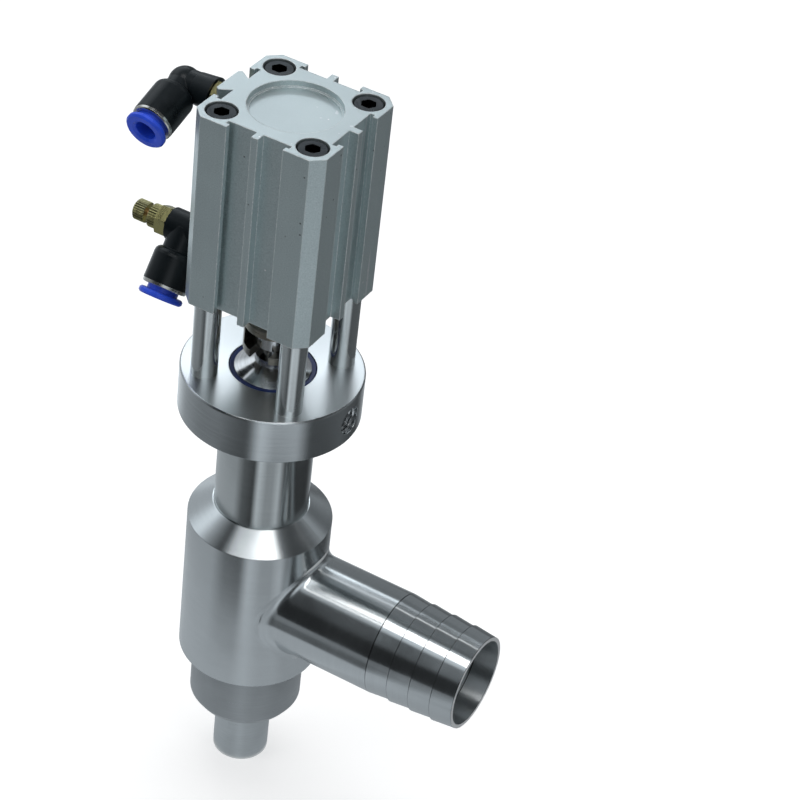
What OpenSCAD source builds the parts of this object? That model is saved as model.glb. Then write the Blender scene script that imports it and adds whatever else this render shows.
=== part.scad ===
// Pneumatic filling valve with a hose tail inlet and an anti-drip nozzle.
// Origin: centre of the nozzle's outlet face. +Z runs up the stem, +X along the inlet branch.
// The stem is drawn raised, with the valve open. All sizes are in millimetres.

/* [Nozzle] */
// Outside diameter of the nozzle tip
tip_d = 17; // [16:0.5:20]
// Bore of the nozzle tip
tip_bore = 13; // [11:0.5:13.5]
// Length of the tip below the sleeve
tip_len = 22.6; // [18:0.2:26]
// Outside diameter of the sleeve that carries the tip
sleeve_d = 34; // [32:0.5:38]
// Length of the sleeve below the valve body
sleeve_len = 21.4; // [19:0.2:28]
// Height of the chamfer round the sleeve's lower edge
sleeve_chamfer = 2.4; // [1:0.1:3]
// Wall of the sleeve round the tip's head
sleeve_wall = 3.5; // [3.2:0.1:4]

/* [Valve body] */
// Outside diameter of the valve body
body_d = 42.7; // [41:0.1:48]
// Length of the body's straight side
body_len = 50.4; // [46:0.2:60]
// Wall of the body round its chamber
body_wall = 3.8; // [2.8:0.1:4.5]
// Height of the sloping shoulder on top of the body
shoulder_h = 5.3; // [4:0.1:8]
// Outside diameter of the neck tube
neck_d = 27.8; // [27.4:0.1:29]
// Bore of the neck, in which the stem's guide slides
neck_bore = 25; // [24:0.1:25.4]
// Length of neck between the body and the flange
neck_len = 34.9; // [34:0.1:45]

/* [Inlet] */
// Outside diameter of the inlet pipe
inlet_d = 31.75; // [28:0.05:32.1]
// Bore of the inlet pipe
inlet_bore = 26.4; // [22:0.1:26.8]
// Height of the inlet's axis above the body's lower end
inlet_h = 24.8; // [24.6:0.1:27]
// Reach of the inlet from the stem's axis
inlet_reach = 76.4; // [70:0.1:100]
// Number of barbs
barb_count = 4; // [2:1:5]
// Length of one barb
barb_len = 7; // [5:0.1:8]
// Height of the step at each barb's ridge
barb_step = 0.7; // [0.4:0.1:0.9]
// Loss of radius from one ridge to the next
barb_taper = 0.25; // [0:0.05:0.3]

/* [Flange and pillars] */
// Diameter of the mounting flange
flange_d = 52.6; // [52:0.2:60]
// Thickness of the mounting flange
flange_t = 14.1; // [12:0.1:18]
// Core diameter of the threaded hole in the flange's rim
side_hole_d = 8.5; // [6.8:0.1:8.5]
// Depth of the threaded hole in the flange's rim
side_hole_depth = 9; // [7:0.5:10]
// Diameter of the four pillars
pillar_d = 7.7; // [7:0.1:9]
// Length of the pillars between flange and cylinder
pillar_len = 25.5; // [25:0.1:34]

/* [Air cylinder] */
// Side of the square barrel
cyl_side = 40; // [39.6:0.2:42]
// Length of the barrel
cyl_len = 60; // [59:0.5:80]
// Bore of the barrel
cyl_bore = 25; // [24:0.5:25]
// Distance between the centres of neighbouring long screws
bolt_pitch = 28; // [27.8:0.1:29]
// Working stroke of the piston and the stem
stroke = 30; // [20:0.5:31]
// Diameter of the piston rod
rod_d = 10; // [8:0.5:11]
// Chamfer along the barrel's corners
corner_chamfer = 3.3; // [1:0.1:3.6]
// Depth of the sensor slots
slot_depth = 2.85; // [2:0.05:3]
// Width of a sensor slot's mouth
slot_mouth = 17.2; // [14:0.1:17.4]
// Depth of the undercut behind each slot lip
slot_undercut = 1.05; // [0.5:0.05:1.1]
// Width of the rib along the middle of a slot
slot_rib = 2.1; // [1.5:0.1:3]
// Diameter of the shallow recess in the barrel's top
recess_d = 26; // [25.8:0.1:26.4]
// Depth of the recess down to the rear cap
recess_depth = 2.2; // [1.4:0.1:2.6]
// Distance of the upper air port below the barrel's top
port_upper_drop = 6.4; // [6.4:0.1:7]
// Height of the lower air port above the barrel's lower end
port_lower_rise = 7.5; // [7.5:0.1:8]

/* [Stem] */
// Diameter of the stem inside the valve body
stem_d = 10; // [8:0.5:11]
// Length of the stem's guide in the neck
guide_len = 20.7; // [16:0.1:23]
// Diameter of the cone's foot inside the blue wiper
cone_d = 22; // [20:0.1:22.4]
// Height of the stem's cone
cone_h = 2.8; // [2:0.1:4]
// Diameter of the coupling on the piston rod
coupling_d = 18; // [17:0.1:19]
// Length of the coupling
coupling_len = 11.5; // [11.5:0.1:13]
// Diameter of the stem's head inside the coupling
head_d = 12; // [10:0.1:12.4]
// Diameter of the stem's neck inside the coupling
stem_neck_d = 5.6; // [4.5:0.1:6.5]
// Gap between the flange and the raised coupling
coupling_rise = 6.3; // [6.2:0.1:7]

/* [Air fittings] */
// Outside diameter of the upper tube socket
upper_socket_d = 12.1; // [11.8:0.1:13]
// Outside diameter of the lower tube socket
lower_socket_d = 13; // [11.8:0.1:13.4]
// Outside diameter of the air tube that the sockets take
tube_d = 6; // [5:0.5:6]
// Width across flats of the brass hexagons
hex_af = 8; // [7.6:0.1:9]
// Angle of the upper socket below the horizontal
upper_droop = 19; // [0:1:45]
// Angle of the lower socket below the horizontal
lower_droop = 52; // [20:1:60]
// Distance of the upper socket's mouth from its port axis
upper_mouth = 15.4; // [14.8:0.1:18]
// Distance of the lower socket's mouth from its port axis
lower_mouth = 16.5; // [16:0.1:20]
// Diameter of the needle's knurled knob
knob_d = 6.2; // [5:0.1:8]
// Length of the needle's knurled knob
knob_len = 3.9; // [3:0.1:6]
// Diameter of the knurled lock ring
lock_ring_d = 7; // [6:0.1:8]

/* [Hidden] */
$fn = 96;

// Clearances: a sliding fit, a seated or screwed fit, and the play between rings and grooves
slide_gap = 0.08;
seat_gap = 0.05;
ring_gap = 0.1;
cut = 0.02;

// Levels up the stem's axis
sleeve_z = tip_len;
body_z = sleeve_z + sleeve_len;
shoulder_z = body_z + body_len;
neck_z = shoulder_z + shoulder_h;
flange_z = neck_z + neck_len;
flange_top = flange_z + flange_t;
cyl_z = flange_top + pillar_len;
cyl_top = cyl_z + cyl_len;
inlet_z = body_z + inlet_h;

// Nozzle: the tip hangs by its head, which a ring screws down on a gasket
sleeve_floor = 3.4;
gasket_t = 0.6;
head_z = sleeve_z + sleeve_floor + gasket_t;
tip_head_t = 4.4;
tip_head_d = sleeve_d - 2 * sleeve_wall - 2 * seat_gap;
funnel_z = sleeve_z + 2.9;
funnel_d = tip_head_d - 2.4;
clamp_t = 4;
spigot_len = 8;
spigot_wall = 1.95;
spigot_d = sleeve_d - 2 * sleeve_wall + 2 * spigot_wall;
spigot_groove_z = body_z + 2.2;
spigot_groove_w = 1.9;
spigot_groove_depth = 0.9;

// Body: bores from below, chamber, and the ledge that the neck tube stands on
chamber_d = body_d - 2 * body_wall;
chamber_z = body_z + spigot_len + 0.5;
ceiling_h = 3.5;
ledge_z = neck_z - 6.7;
ceiling_z = ledge_z - ceiling_h - 1.5;
shoulder_land = 0.35;
tube_seat = 6;
relief = 0.5;
weld_w = 1.3;
weld_h = 1.1;
tail_root = body_d / 2 + weld_h + 1;

// Cylinder ends
cap_t = 2.2;
cap_lip_t = 0.5;
cap_lip = 0.7;
cap_z = cyl_top - recess_depth - cap_t;
cap_oring_w = 1.2;
circlip_t = 1.1;
circlip_z = cyl_z + 0.8;
circlip_deep = 0.9;
gland_d = cyl_bore + 1;
gland_z = circlip_z + circlip_t + ring_gap;
gland_t = 3.3;
nose_d = rod_d + 10;
nose_len = 5.5;
gland_top = gland_z + gland_t + nose_len;
gland_groove_w = 1.6;
gland_groove_depth = 1.2;
bush_d = rod_d + 3;
bush_len = 4;
rod_seal_d = rod_d + 5;
rod_seal_h = 3;
screw_d = 5;
screw_head_d = 8.5;
screw_head_h = 5;
screw_sink = 0.4;
screw_hex = 4;
counterbore_d = 9;
screw_reach = 12;
stud_len = 10;

// Air ports on the ribbed side of the barrel
boss_face = cyl_side / 2 + 1.4;
boss_root = 3.6;
boss_wide = 5.9;
boss_nose = 5.1;
undercut_h = 1.3;
port_d = 5;
port_upper_z = cyl_top - port_upper_drop;
port_lower_z = cyl_z + port_lower_rise;
port_drill_d = 3.4;
port_thread_len = 6.5;

// Piston stack, which fills what the stroke leaves free
bumper_t = 1.5;
top_bumper_t = 2;
boss_h = 2.1;
stack_z = gland_top + ring_gap + stroke;
piston_z = stack_z + bumper_t;
piston_top = cap_z - ring_gap - top_bumper_t - boss_h;
piston_t = piston_top - piston_z;
piston_d = cyl_bore - 2 * slide_gap;
rod_thread_d = 6;
nut_af = 8;
nut_t = 3;
bumper_od = 16;
bumper_id = 11.4;
seal_w = 2.2;
seal_deep = 1.8;
magnet_w = 2.2;
magnet_deep = 2.2;

// Stem, drawn raised by the whole stroke
plug_gap = 0.5;
plug_z = plug_gap + stroke;
plug_d = tip_bore - 2 * slide_gap;
plug_len = 13;
plug_taper = 2;
plug_groove_z = plug_z + 2;
plug_groove_w = 2;
plug_oring = 1.7;
plug_thread_d = 6;
plug_thread_len = 9;
guide_d = neck_bore - 2 * slide_gap;
guide_z = flange_top - guide_len;
guide_taper = 5;
wiper_h = 2.5;
wiper_inner = cone_d + 2 * seat_gap;
guide_groove_w = 2.4;
guide_oring = 2;
guide_grooves = [guide_z + 2.5, guide_z + guide_len - 9];
collar_d = 10.8;
collar_h = 2.1;
coupling_z = flange_top + coupling_rise;
coupling_top = coupling_z + coupling_len;
lip_t = 2.8;
head_play = 0.6;
head_t = 5.2;
head_z_low = coupling_z + lip_t;
coupling_stud_len = 10;
coupling_stud_d = 5;
coupling_edge = 0.5;

// Air fittings, laid out from the face of the boss along the port's axis
fit_gasket_t = 0.6;
hex_z = fit_gasket_t;
upper_hex_t = 2.6;
upper_centre = 13.2;
spigot_r = 2.9;
spigot_end = upper_centre - 1;
spigot_head_t = 0.6;
spigot_head_r = spigot_r + 0.25;
stub_r = 5;
stub_end_r = 4.5;
stub_len = 5.8;
elbow_r = 4.35;
elbow_ball_r = 4.65;
upper_shoulder = 3.9;
shoulder_round = 2;
lower_hex_t = 1.9;
banjo_z = hex_z + lower_hex_t + ring_gap;
banjo_len = 11.9;
banjo_r = 4.8;
core_r = 3.2;
core_bore = 2.2;
lower_centre = banjo_z + banjo_len / 2 + 0.85;
lower_shoulder = 6.5;
lower_neck_r = 4.9;
bonnet_z = banjo_z + banjo_len + ring_gap;
bonnet_t = 3.8;
lock_z = bonnet_z + bonnet_t + ring_gap;
lock_t = 2.7;
knob_gap = 1.5;
knob_z = lock_z + lock_t + knob_gap;
spindle_r = 1.15;
knurl_teeth = 28;
knurl_depth = 0.22;

// Inside a tube socket, measured from its mouth
collar_travel = 1;
collar_gap = 1.4;
socket_ring_t = 1.1;
collar_flange_t = 1.8;
tube_bore_r = tube_d / 2 + 0.05;
socket_r = tube_bore_r + 2.15;
collar_neck_r = tube_bore_r + 1.5;
skirt_len = 3;
grip_t = 0.5;
tube_seal_len = 2.7;
pilot_len = 2.1;
socket_depth = skirt_len + grip_t + tube_seal_len + 3 * ring_gap;
air_way_r = 1.6;

steel = "lightsteelblue";
polished = "gainsboro";
anodised = "silver";
black_plastic = "#1c1f22";
blue_plastic = "royalblue";
brass = "#b3a052";
black_oxide = "#2a2a2c";
rubber = "#202024";
wiper_blue = "midnightblue";

// A tube or ring standing on its end
module ring(outer, inner, height) {
    difference() {
        cylinder(d = outer, h = height);
        translate([0, 0, -cut]) cylinder(d = inner, h = height + 2 * cut);
    }
}

// A ring of round section, its groove's floor at radius r
module oring(r, wire) {
    rotate_extrude() translate([r + wire / 2, 0]) circle(d = wire, $fn = 32);
}

// A solid turned from an outline of radius and height
module turned(outline) {
    rotate_extrude() polygon(outline);
}

// One copy at each corner of the long screws' square
module at_screws() {
    for (x = [-1, 1], y = [-1, 1])
        translate([x * bolt_pitch / 2, y * bolt_pitch / 2, 0]) children();
}

// A hexagon bar of the given width across flats
module hexagon(af, height) {
    cylinder(d = af / cos(30), h = height, $fn = 6);
}

// A hexagon with its corners turned off at both ends
module hex_nut(af, height) intersection() {
    hexagon(af, height);
    rise = (af / cos(30) - af) / 2 + 0.6;
    turned([
        [0, 0],
        [af / 2 - 0.1, 0],
        [af / 2 - 0.1 + rise, rise * tan(30)],
        [af / 2 - 0.1 + rise, height - rise * tan(30)],
        [af / 2 - 0.1, height],
        [0, height]
    ]);
}

// A knurled disc with straight teeth
module knurled(d, height) {
    linear_extrude(height) polygon([
        for (i = [0 : 2 * knurl_teeth - 1])
            let (r = d / 2 - (i % 2) * knurl_depth, a = i * 180 / knurl_teeth)
            [r * cos(a), r * sin(a)]
    ]);
}

module nozzle_tip() color(steel) difference() {
    union() {
        cylinder(d = tip_d, h = sleeve_z - 0.3);
        cylinder(d = tip_d - 2 * relief, h = head_z + cut);
        translate([0, 0, head_z]) cylinder(d = tip_head_d, h = tip_head_t);
    }
    translate([0, 0, -cut]) cylinder(d = tip_bore, h = funnel_z + 2 * cut);
    translate([0, 0, funnel_z])
        cylinder(d1 = tip_bore, d2 = funnel_d, h = head_z + tip_head_t - funnel_z + cut);
}

module tip_gasket() color(rubber)
    translate([0, 0, head_z - gasket_t])
        ring(tip_head_d, tip_d + 2 * ring_gap, gasket_t);

module tip_clamp_ring() color(steel)
    translate([0, 0, head_z + tip_head_t]) difference() {
        ring(tip_head_d, funnel_d, clamp_t);
        for (a = [0, 90]) rotate([0, 0, a])
            translate([-tip_head_d, -1, clamp_t - 1.5]) cube([2 * tip_head_d, 2, 2]);
    }

module nozzle_sleeve() color(steel) {
    bore_r = sleeve_d / 2 - sleeve_wall;
    hole_r = tip_d / 2 + seat_gap;
    foot_r = sleeve_d / 2 - sleeve_chamfer * 0.66;
    difference() {
        turned([
            [hole_r, sleeve_z],
            [foot_r, sleeve_z],
            [sleeve_d / 2, sleeve_z + sleeve_chamfer],
            [sleeve_d / 2, body_z],
            [spigot_d / 2, body_z],
            [spigot_d / 2, body_z + spigot_len],
            [bore_r, body_z + spigot_len],
            [bore_r, sleeve_z + sleeve_floor],
            [hole_r, sleeve_z + sleeve_floor]
        ]);
        translate([0, 0, spigot_groove_z])
            ring(spigot_d + 1, spigot_d - 2 * spigot_groove_depth, spigot_groove_w);
    }
}

module sleeve_oring() color(rubber)
    translate([0, 0, spigot_groove_z + spigot_groove_w / 2])
        oring(spigot_d / 2 - spigot_groove_depth, spigot_groove_depth);

module valve_body() color(steel) difference() {
    tube_r = neck_d / 2 + seat_gap;
    turned([
        [spigot_d / 2 + seat_gap, body_z],
        [body_d / 2, body_z],
        [body_d / 2, shoulder_z],
        [tube_r + shoulder_land, neck_z],
        [tube_r, neck_z],
        [tube_r, ledge_z],
        [neck_bore / 2, ledge_z],
        [neck_bore / 2, ceiling_z + ceiling_h],
        [chamber_d / 2, ceiling_z],
        [chamber_d / 2, chamber_z],
        [spigot_d / 2 + seat_gap, chamber_z]
    ]);
    translate([0, 0, inlet_z]) rotate([0, 90, 0])
        cylinder(d = inlet_d - 2 * relief + 2 * seat_gap, h = body_d);
}

module inlet_hose_tail() color(polished) {
    r0 = inlet_d / 2;
    first = inlet_reach - barb_count * barb_len;
    barbs = [
        for (i = [0 : barb_count - 1], end = [0, 1])
            [r0 - i * barb_taper - end * barb_step, first + (i + end) * barb_len]
    ];
    difference() {
        translate([0, 0, inlet_z]) rotate([0, 90, 0]) turned(concat(
            [[inlet_bore / 2, 0], [r0 - relief, 0], [r0 - relief, tail_root], [r0, tail_root]],
            barbs,
            [[inlet_bore / 2, inlet_reach]]
        ));
        cylinder(d = chamber_d, h = cyl_top);
    }
}

// The bead where the branch meets the body, cut between two crossing tubes
module inlet_weld() color(steel) intersection() {
    translate([0, 0, inlet_z]) rotate([0, 90, 0])
        ring(inlet_d + 2 * weld_w, inlet_d - 2 * relief + 2 * seat_gap, body_d);
    translate([0, 0, body_z]) ring(body_d + 2 * weld_h, body_d + seat_gap, body_len);
}

module neck_tube() color(polished)
    translate([0, 0, ledge_z]) ring(neck_d, neck_bore, flange_z + tube_seat - ledge_z);

module mounting_flange() color(steel) {
    edge = 0.4;
    difference() {
        turned([
            [neck_bore / 2, flange_z],
            [flange_d / 2 - edge, flange_z],
            [flange_d / 2, flange_z + edge],
            [flange_d / 2, flange_top - edge],
            [flange_d / 2 - edge, flange_top],
            [neck_bore / 2, flange_top]
        ]);
        translate([0, 0, flange_z - cut])
            cylinder(d = neck_d + 2 * seat_gap, h = tube_seat + cut);
        translate([0, 0, flange_top - stud_len - 0.5])
            at_screws() cylinder(d = screw_d + 2 * seat_gap, h = stud_len + 1);
        translate([flange_d / 2 - side_hole_depth, 0, flange_z + flange_t / 2])
            rotate([0, 90, 0]) cylinder(d = side_hole_d, h = side_hole_depth + 1);
    }
}

module pillars() color(polished) at_screws() difference() {
    union() {
        translate([0, 0, flange_top]) cylinder(d = pillar_d, h = pillar_len);
        translate([0, 0, flange_top - stud_len]) cylinder(d = screw_d, h = stud_len + cut);
    }
    translate([0, 0, cyl_z - screw_reach - 1])
        cylinder(d = screw_d + 2 * seat_gap, h = screw_reach + 2);
}

// One half of a lipped slot on the side that faces -Y, from the given inner edge outwards
module slot_half(inner_edge) {
    root = cyl_side / 2 - slot_depth;
    lip = root + undercut_h;
    mouth = slot_mouth / 2;
    polygon(concat(inner_edge, [
        [mouth, -boss_face - 1],
        [mouth, -lip],
        [mouth + slot_undercut, -lip],
        [mouth + slot_undercut, -root]
    ]));
}

// The whole slot: beside a plain rib, or beside the boss into which the air ports are drilled
module slot_outline(with_boss = false) {
    root = cyl_side / 2 - slot_depth;
    rib_edge = [[slot_rib / 2, -root], [slot_rib / 2, -boss_face - 1]];
    boss_edge = [
        [boss_root, -root],
        [boss_wide, -cyl_side / 2 - 0.5],
        [boss_nose, -boss_face],
        [boss_nose - 1, -boss_face - 1]
    ];
    for (side = [0, 1]) mirror([side, 0, 0]) slot_half(with_boss ? boss_edge : rib_edge);
}

module barrel_outline() {
    face = cyl_side / 2;
    c = corner_chamfer;
    w = boss_wide + 1;
    difference() {
        polygon([
            [c - face, -face], [face - c, -face], [face, c - face], [face, face - c],
            [face - c, face], [c - face, face], [-face, face - c], [-face, w],
            [-boss_face, w], [-boss_face, -w], [-face, -w], [-face, c - face]
        ]);
        for (a = [0, 90, 180]) rotate([0, 0, a]) slot_outline();
        rotate([0, 0, 270]) slot_outline(with_boss = true);
    }
}

module cylinder_barrel() color(anodised) difference() {
    translate([0, 0, cyl_z]) linear_extrude(cyl_len) barrel_outline();
    translate([0, 0, cyl_z - 1]) cylinder(d = cyl_bore, h = cap_z - cyl_z + 2);
    translate([0, 0, cyl_z - 1]) cylinder(d = gland_d, h = gland_z + gland_t - cyl_z + 1 + ring_gap);
    translate([0, 0, circlip_z])
        cylinder(d = gland_d + 2 * circlip_deep, h = circlip_t + ring_gap);
    translate([0, 0, cap_z]) cylinder(d = recess_d, h = cap_t);
    translate([0, 0, cap_z]) cylinder(d = recess_d - 2 * cap_lip, h = cyl_len);
    translate([0, 0, cap_z + cap_t + cap_lip_t]) cylinder(d = recess_d, h = cyl_len);
    at_screws() {
        translate([0, 0, cyl_z - 1]) cylinder(d = screw_d + 0.5, h = cyl_len + 2);
        translate([0, 0, cyl_top - screw_sink - screw_head_h]) cylinder(d = counterbore_d, h = cyl_len);
    }
    for (z = [port_upper_z, port_lower_z]) translate([0, 0, z]) rotate([0, -90, 0]) {
        cylinder(d = port_drill_d, h = cyl_side);
        translate([0, 0, boss_face - port_thread_len])
            cylinder(d = port_d + 2 * seat_gap, h = cyl_side);
    }
}

module barrel_screws() color(black_oxide) at_screws() {
    head_z = cyl_top - screw_sink - screw_head_h;
    edge = 0.4;
    difference() {
        union() {
            translate([0, 0, cyl_z - screw_reach]) cylinder(d = screw_d, h = head_z + cut - cyl_z + screw_reach);
            translate([0, 0, head_z]) cylinder(d = screw_head_d, h = screw_head_h - edge);
            translate([0, 0, head_z + screw_head_h - edge])
                cylinder(d1 = screw_head_d, d2 = screw_head_d - 2 * edge, h = edge);
        }
        translate([0, 0, head_z + 2.4]) hexagon(screw_hex, screw_head_h);
    }
}

module rear_cap() color(anodised) translate([0, 0, cap_z]) difference() {
    d = recess_d - 2 * seat_gap;
    cylinder(d = d, h = cap_t);
    translate([0, 0, (cap_t - cap_oring_w) / 2]) ring(d + 1, d - 2 * cap_oring_w, cap_oring_w);
}

module rear_cap_oring() color(rubber)
    translate([0, 0, cap_z + cap_t / 2]) oring(recess_d / 2 - seat_gap - cap_oring_w, cap_oring_w - ring_gap);

module rod_gland() color(steel) {
    r = gland_d / 2 - seat_gap;
    difference() {
        union() {
            translate([0, 0, gland_z]) cylinder(r = r, h = gland_t);
            translate([0, 0, gland_z]) cylinder(d = nose_d, h = gland_t + nose_len);
        }
        translate([0, 0, gland_z - 1]) cylinder(d = rod_d + 0.6, h = gland_t + nose_len + 2);
        translate([0, 0, gland_z - 1]) cylinder(d = rod_seal_d, h = rod_seal_h + 1);
        translate([0, 0, gland_top - bush_len]) cylinder(d = bush_d, h = bush_len + 1);
        translate([0, 0, gland_z + (gland_t - gland_groove_w) / 2])
            ring(2 * r + 1, 2 * (r - gland_groove_depth), gland_groove_w);
    }
}

module gland_oring() color(rubber)
    translate([0, 0, gland_z + gland_t / 2])
        oring(gland_d / 2 - seat_gap - gland_groove_depth, gland_groove_depth);

module gland_circlip() color(steel) translate([0, 0, circlip_z + ring_gap / 2]) {
    outer = gland_d + 2 * circlip_deep - 2 * seat_gap;
    inner = gland_d - 2.2;
    ear = 1.8;
    difference() {
        union() {
            ring(outer, inner, circlip_t);
            for (s = [-1, 1]) rotate([0, 0, 270 + s * 14])
                translate([inner / 2, 0, 0]) cylinder(r = ear, h = circlip_t);
        }
        rotate([0, 0, 225]) translate([0, 0, -1])
            linear_extrude(circlip_t + 2) polygon([
                [0, 0], [outer * cos(39), outer * sin(39)], [outer * cos(51), outer * sin(51)]
            ]);
        for (s = [-1, 1]) rotate([0, 0, 270 + s * 14])
            translate([inner / 2 - 0.4, 0, -1]) cylinder(r = 0.8, h = circlip_t + 2);
    }
}

module rod_bush() color(brass)
    translate([0, 0, gland_top - bush_len])
        ring(bush_d - 2 * seat_gap, rod_d + 2 * slide_gap, bush_len);

module rod_seal() color(rubber) translate([0, 0, gland_z]) turned([
    [rod_d / 2 + slide_gap, 0],
    [rod_seal_d / 2 - seat_gap, 0],
    [rod_seal_d / 2 - seat_gap, rod_seal_h - ring_gap],
    [rod_seal_d / 2 - 0.8, rod_seal_h - ring_gap],
    [(rod_d + rod_seal_d) / 4, rod_seal_h / 2],
    [rod_d / 2 + 0.8, rod_seal_h - ring_gap],
    [rod_d / 2 + slide_gap, rod_seal_h - ring_gap]
]);

module valve_stem() color(polished) {
    groove_r = guide_d / 2 - guide_oring + 0.1;
    foot = guide_z - guide_taper;
    difference() {
        turned([
            [0, plug_z + plug_len + plug_taper - plug_thread_len],
            [plug_thread_d / 2, plug_z + plug_len + plug_taper - plug_thread_len],
            [plug_thread_d / 2, plug_z + plug_len + plug_taper],
            [stem_d / 2, plug_z + plug_len + plug_taper],
            [stem_d / 2, foot],
            [guide_d / 2 - 0.5, guide_z],
            [guide_d / 2, guide_z + 0.5],
            [guide_d / 2, flange_top - wiper_h],
            [cone_d / 2, flange_top - wiper_h],
            [cone_d / 2, flange_top],
            [collar_d / 2, flange_top + cone_h],
            [collar_d / 2, flange_top + cone_h + collar_h],
            [stem_neck_d / 2, flange_top + cone_h + collar_h],
            [stem_neck_d / 2, head_z_low],
            [head_d / 2, head_z_low],
            [head_d / 2, head_z_low + head_t - 0.6],
            [head_d / 2 - 0.6, head_z_low + head_t],
            [0, head_z_low + head_t]
        ]);
        for (z = guide_grooves) translate([0, 0, z]) ring(guide_d + 1, 2 * groove_r, guide_groove_w);
    }
}

module guide_wiper() color(wiper_blue)
    translate([0, 0, flange_top - wiper_h]) turned([
        [wiper_inner / 2, 0],
        [guide_d / 2, 0],
        [guide_d / 2, wiper_h - 0.5],
        [guide_d / 2 - 0.25, wiper_h - 0.05],
        [wiper_inner / 2, wiper_h - 0.25]
    ]);

module guide_orings() color(rubber)
    for (z = guide_grooves) translate([0, 0, z + guide_groove_w / 2])
        oring(guide_d / 2 - guide_oring + 0.1, guide_oring - 0.1);

module stem_plug() color(steel) difference() {
    top = plug_z + plug_len;
    turned([
        [0, plug_z],
        [plug_d / 2 - 0.8, plug_z],
        [plug_d / 2, plug_z + 0.8],
        [plug_d / 2, top],
        [stem_d / 2, top + plug_taper],
        [0, top + plug_taper]
    ]);
    translate([0, 0, top + plug_taper - plug_thread_len - 0.5])
        cylinder(d = plug_thread_d + 2 * seat_gap, h = plug_thread_len + 1);
    translate([0, 0, plug_groove_z])
        ring(plug_d + 1, plug_d - 2 * plug_oring + 0.2, plug_groove_w);
}

module plug_oring() color(wiper_blue)
    translate([0, 0, plug_groove_z + plug_groove_w / 2]) oring(plug_d / 2 - plug_oring + 0.1, plug_oring - 0.1);

// T-slot coupling, open towards -Y, so that the stem's head slides in sideways
module stem_coupling() color(polished) {
    neck_slot = stem_neck_d + 0.6;
    head_slot = head_d + 0.6;
    mouth = coupling_d;
    difference() {
        union() {
            turned([
                [0, coupling_z],
                [coupling_d / 2 - coupling_edge, coupling_z],
                [coupling_d / 2, coupling_z + coupling_edge],
                [coupling_d / 2, coupling_top - coupling_edge],
                [coupling_d / 2 - coupling_edge, coupling_top],
                [0, coupling_top]
            ]);
            translate([0, 0, coupling_top - cut])
                cylinder(d = coupling_stud_d, h = coupling_stud_len);
        }
        translate([0, 0, coupling_z - 1]) {
            cylinder(d = neck_slot, h = lip_t + 2);
            translate([-neck_slot / 2, -mouth, 0]) cube([neck_slot, mouth, lip_t + 2]);
        }
        translate([0, 0, coupling_z + lip_t]) {
            cylinder(d = head_slot, h = head_t + head_play);
            translate([-head_slot / 2, -mouth, 0]) cube([head_slot, mouth, head_t + head_play]);
        }
    }
}

module piston_rod() color(polished) {
    nut_top = piston_top + nut_t + 0.4;
    difference() {
        turned([
            [0, coupling_top],
            [rod_d / 2, coupling_top],
            [rod_d / 2, piston_z],
            [rod_thread_d / 2, piston_z],
            [rod_thread_d / 2, nut_top],
            [0, nut_top]
        ]);
        translate([0, 0, coupling_top - 1])
            cylinder(d = coupling_stud_d + 2 * seat_gap, h = coupling_stud_len + 2);
    }
}

module piston() color(anodised) {
    seal_z = piston_z + 1.4;
    magnet_z = piston_top - 1.4 - magnet_w;
    difference() {
        union() {
            translate([0, 0, piston_z]) cylinder(d = piston_d, h = piston_t);
            translate([0, 0, piston_top - cut]) ring(bumper_od, bumper_id, boss_h + cut);
        }
        translate([0, 0, piston_z - 1]) cylinder(d = rod_thread_d + 2 * seat_gap, h = piston_t + 2);
        translate([0, 0, seal_z]) ring(piston_d + 1, piston_d - 2 * seal_deep, seal_w);
        translate([0, 0, magnet_z]) ring(piston_d + 1, piston_d - 2 * magnet_deep, magnet_w);
    }
}

module piston_seal() color(rubber)
    translate([0, 0, piston_z + 1.4 + ring_gap]) turned([
        [piston_d / 2 - seal_deep + seat_gap, 0],
        [piston_d / 2, 0],
        [piston_d / 2, seal_w - 2 * ring_gap],
        [piston_d / 2 - 0.5, seal_w - 2 * ring_gap],
        [piston_d / 2 - seal_deep / 2, seal_w - 0.9],
        [piston_d / 2 - seal_deep + 0.5, seal_w - 2 * ring_gap],
        [piston_d / 2 - seal_deep + seat_gap, seal_w - 2 * ring_gap]
    ]);

module piston_magnet() color(black_oxide)
    translate([0, 0, piston_top - 1.4 - magnet_w + ring_gap])
        ring(piston_d - 0.4, piston_d - 2 * magnet_deep + 2 * seat_gap, magnet_w - 2 * ring_gap);

module piston_bumpers() color(rubber) {
    translate([0, 0, stack_z]) ring(bumper_od, rod_d + 0.6, bumper_t);
    translate([0, 0, piston_top + boss_h]) ring(bumper_od, bumper_id, top_bumper_t);
}

module piston_nut() color(steel) translate([0, 0, piston_top]) difference() {
    hexagon(nut_af, nut_t);
    translate([0, 0, -1]) cylinder(d = rod_thread_d + 2 * seat_gap, h = nut_t + 2);
}

// Places a fitting on a port: local +Z runs out of the boss, local +X points up
module on_port(z) {
    translate([-boss_face, 0, z]) rotate([0, -90, 0]) children();
}

// Turns a socket so that its local +Z runs towards -Y and down by the droop angle
module on_leg(centre, droop) {
    translate([0, 0, centre]) rotate([0, 0, -droop]) rotate([90, 0, 0]) children();
}

module port_gasket() color(rubber)
    ring(hex_af - 0.4, port_d + 2 * ring_gap, fit_gasket_t);

// The round-shouldered outside of a tube socket
module socket_shell(d, shoulder, mouth) turned(concat(
    [[0, shoulder]],
    [
        for (a = [0 : 22.5 : 90])
            [d / 2 - shoulder_round * (1 - sin(a)), shoulder + shoulder_round * (1 - cos(a))]
    ],
    [[d / 2, mouth], [0, mouth]]
));

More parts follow.
